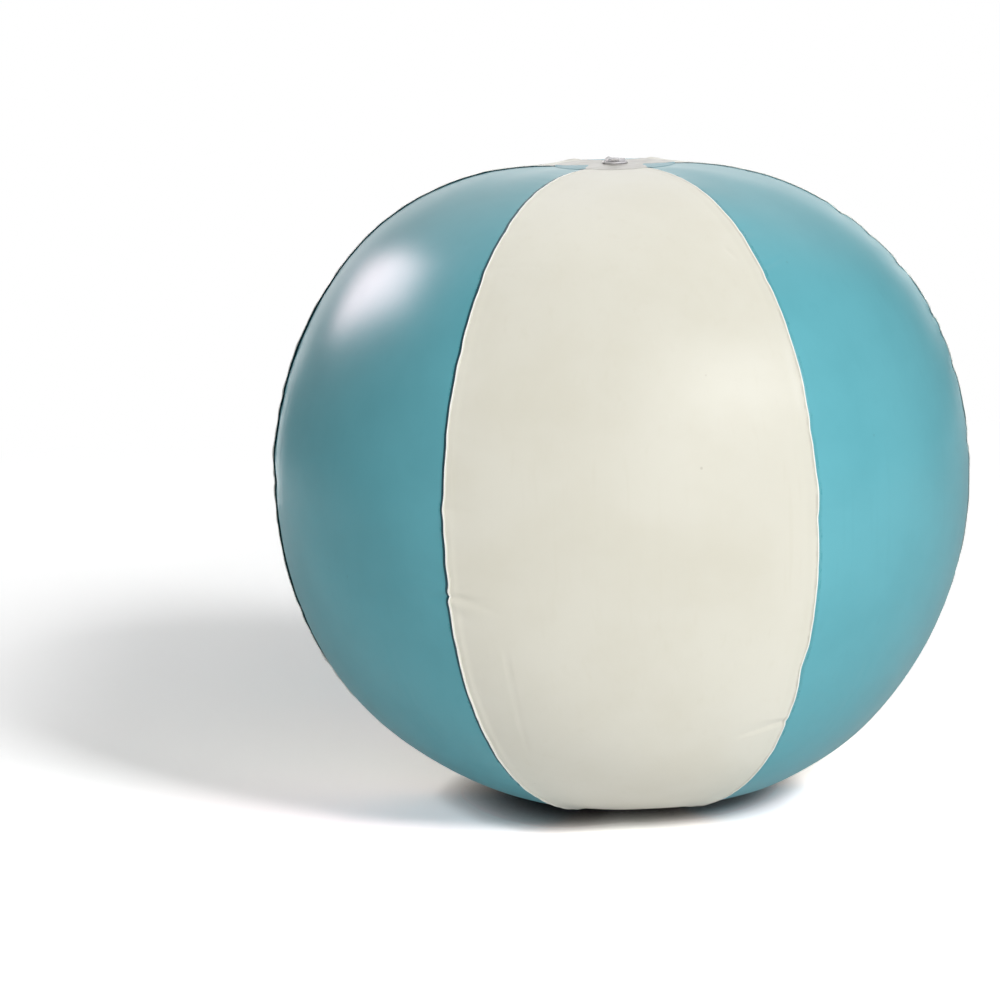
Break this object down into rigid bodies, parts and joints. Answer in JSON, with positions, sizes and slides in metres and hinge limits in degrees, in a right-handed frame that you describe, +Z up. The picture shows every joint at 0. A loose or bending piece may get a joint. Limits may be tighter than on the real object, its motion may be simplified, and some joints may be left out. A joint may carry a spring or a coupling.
{
  "type": "beach ball",
  "caption": "Inflatable ball of welded film gores in alternating colours, with pole discs and a push-in valve that has a stopper on a strap.",
  "frame": {"origin": "on the ground, below the middle of the ball", "axes": "+Z up along the line through both poles, -Y towards the middle of the front cream panel, +X along the widest width, across two opposite seams"},
  "size_m": [0.3506, 0.343, 0.3232],
  "materials": {
    "cream_film": "off-white vinyl film, satin gloss",
    "teal_film": "teal vinyl film, satin gloss",
    "disc_film": "pale vinyl film, slightly see-through, satin gloss",
    "valve_vinyl": "clear soft vinyl moulding"
  },
  "bodies": {
    "ball": {"cream_panel_front": "cream_film", "teal_panel_right": "teal_film", "cream_panel_rear_right": "cream_film", "teal_panel_rear": "teal_film", "cream_panel_rear_left": "cream_film", "teal_panel_left": "teal_film", "top_disc": "disc_film", "bottom_disc": "disc_film", "valve_flange": "valve_vinyl", "valve_cuff": "valve_vinyl"},
    "stem": {"valve_stem": "valve_vinyl"},
    "plug": {"valve_plug": "valve_vinyl"},
    "flap": {"check_flap": "valve_vinyl"}
  },
  "joints": [
    {"name": "stem_slide", "type": "slide", "parent": "ball", "child": "stem", "axis": [0, 0, 1], "range_m": [0, 0.012], "deforming": ["valve_cuff"]},
    {"name": "plug_hinge", "type": "hinge", "parent": "stem", "child": "plug", "pos_m": [0, 0.007, 0.32225], "axis": [-1, 0, 0], "range_deg": [0, 150]},
    {"name": "flap_hinge", "type": "hinge", "parent": "stem", "child": "flap", "pos_m": [0, 0.0055, 0.30075], "axis": [1, 0, 0], "range_deg": [0, 60], "stiffness_Nm_per_rad": 0.0002}
  ]
}
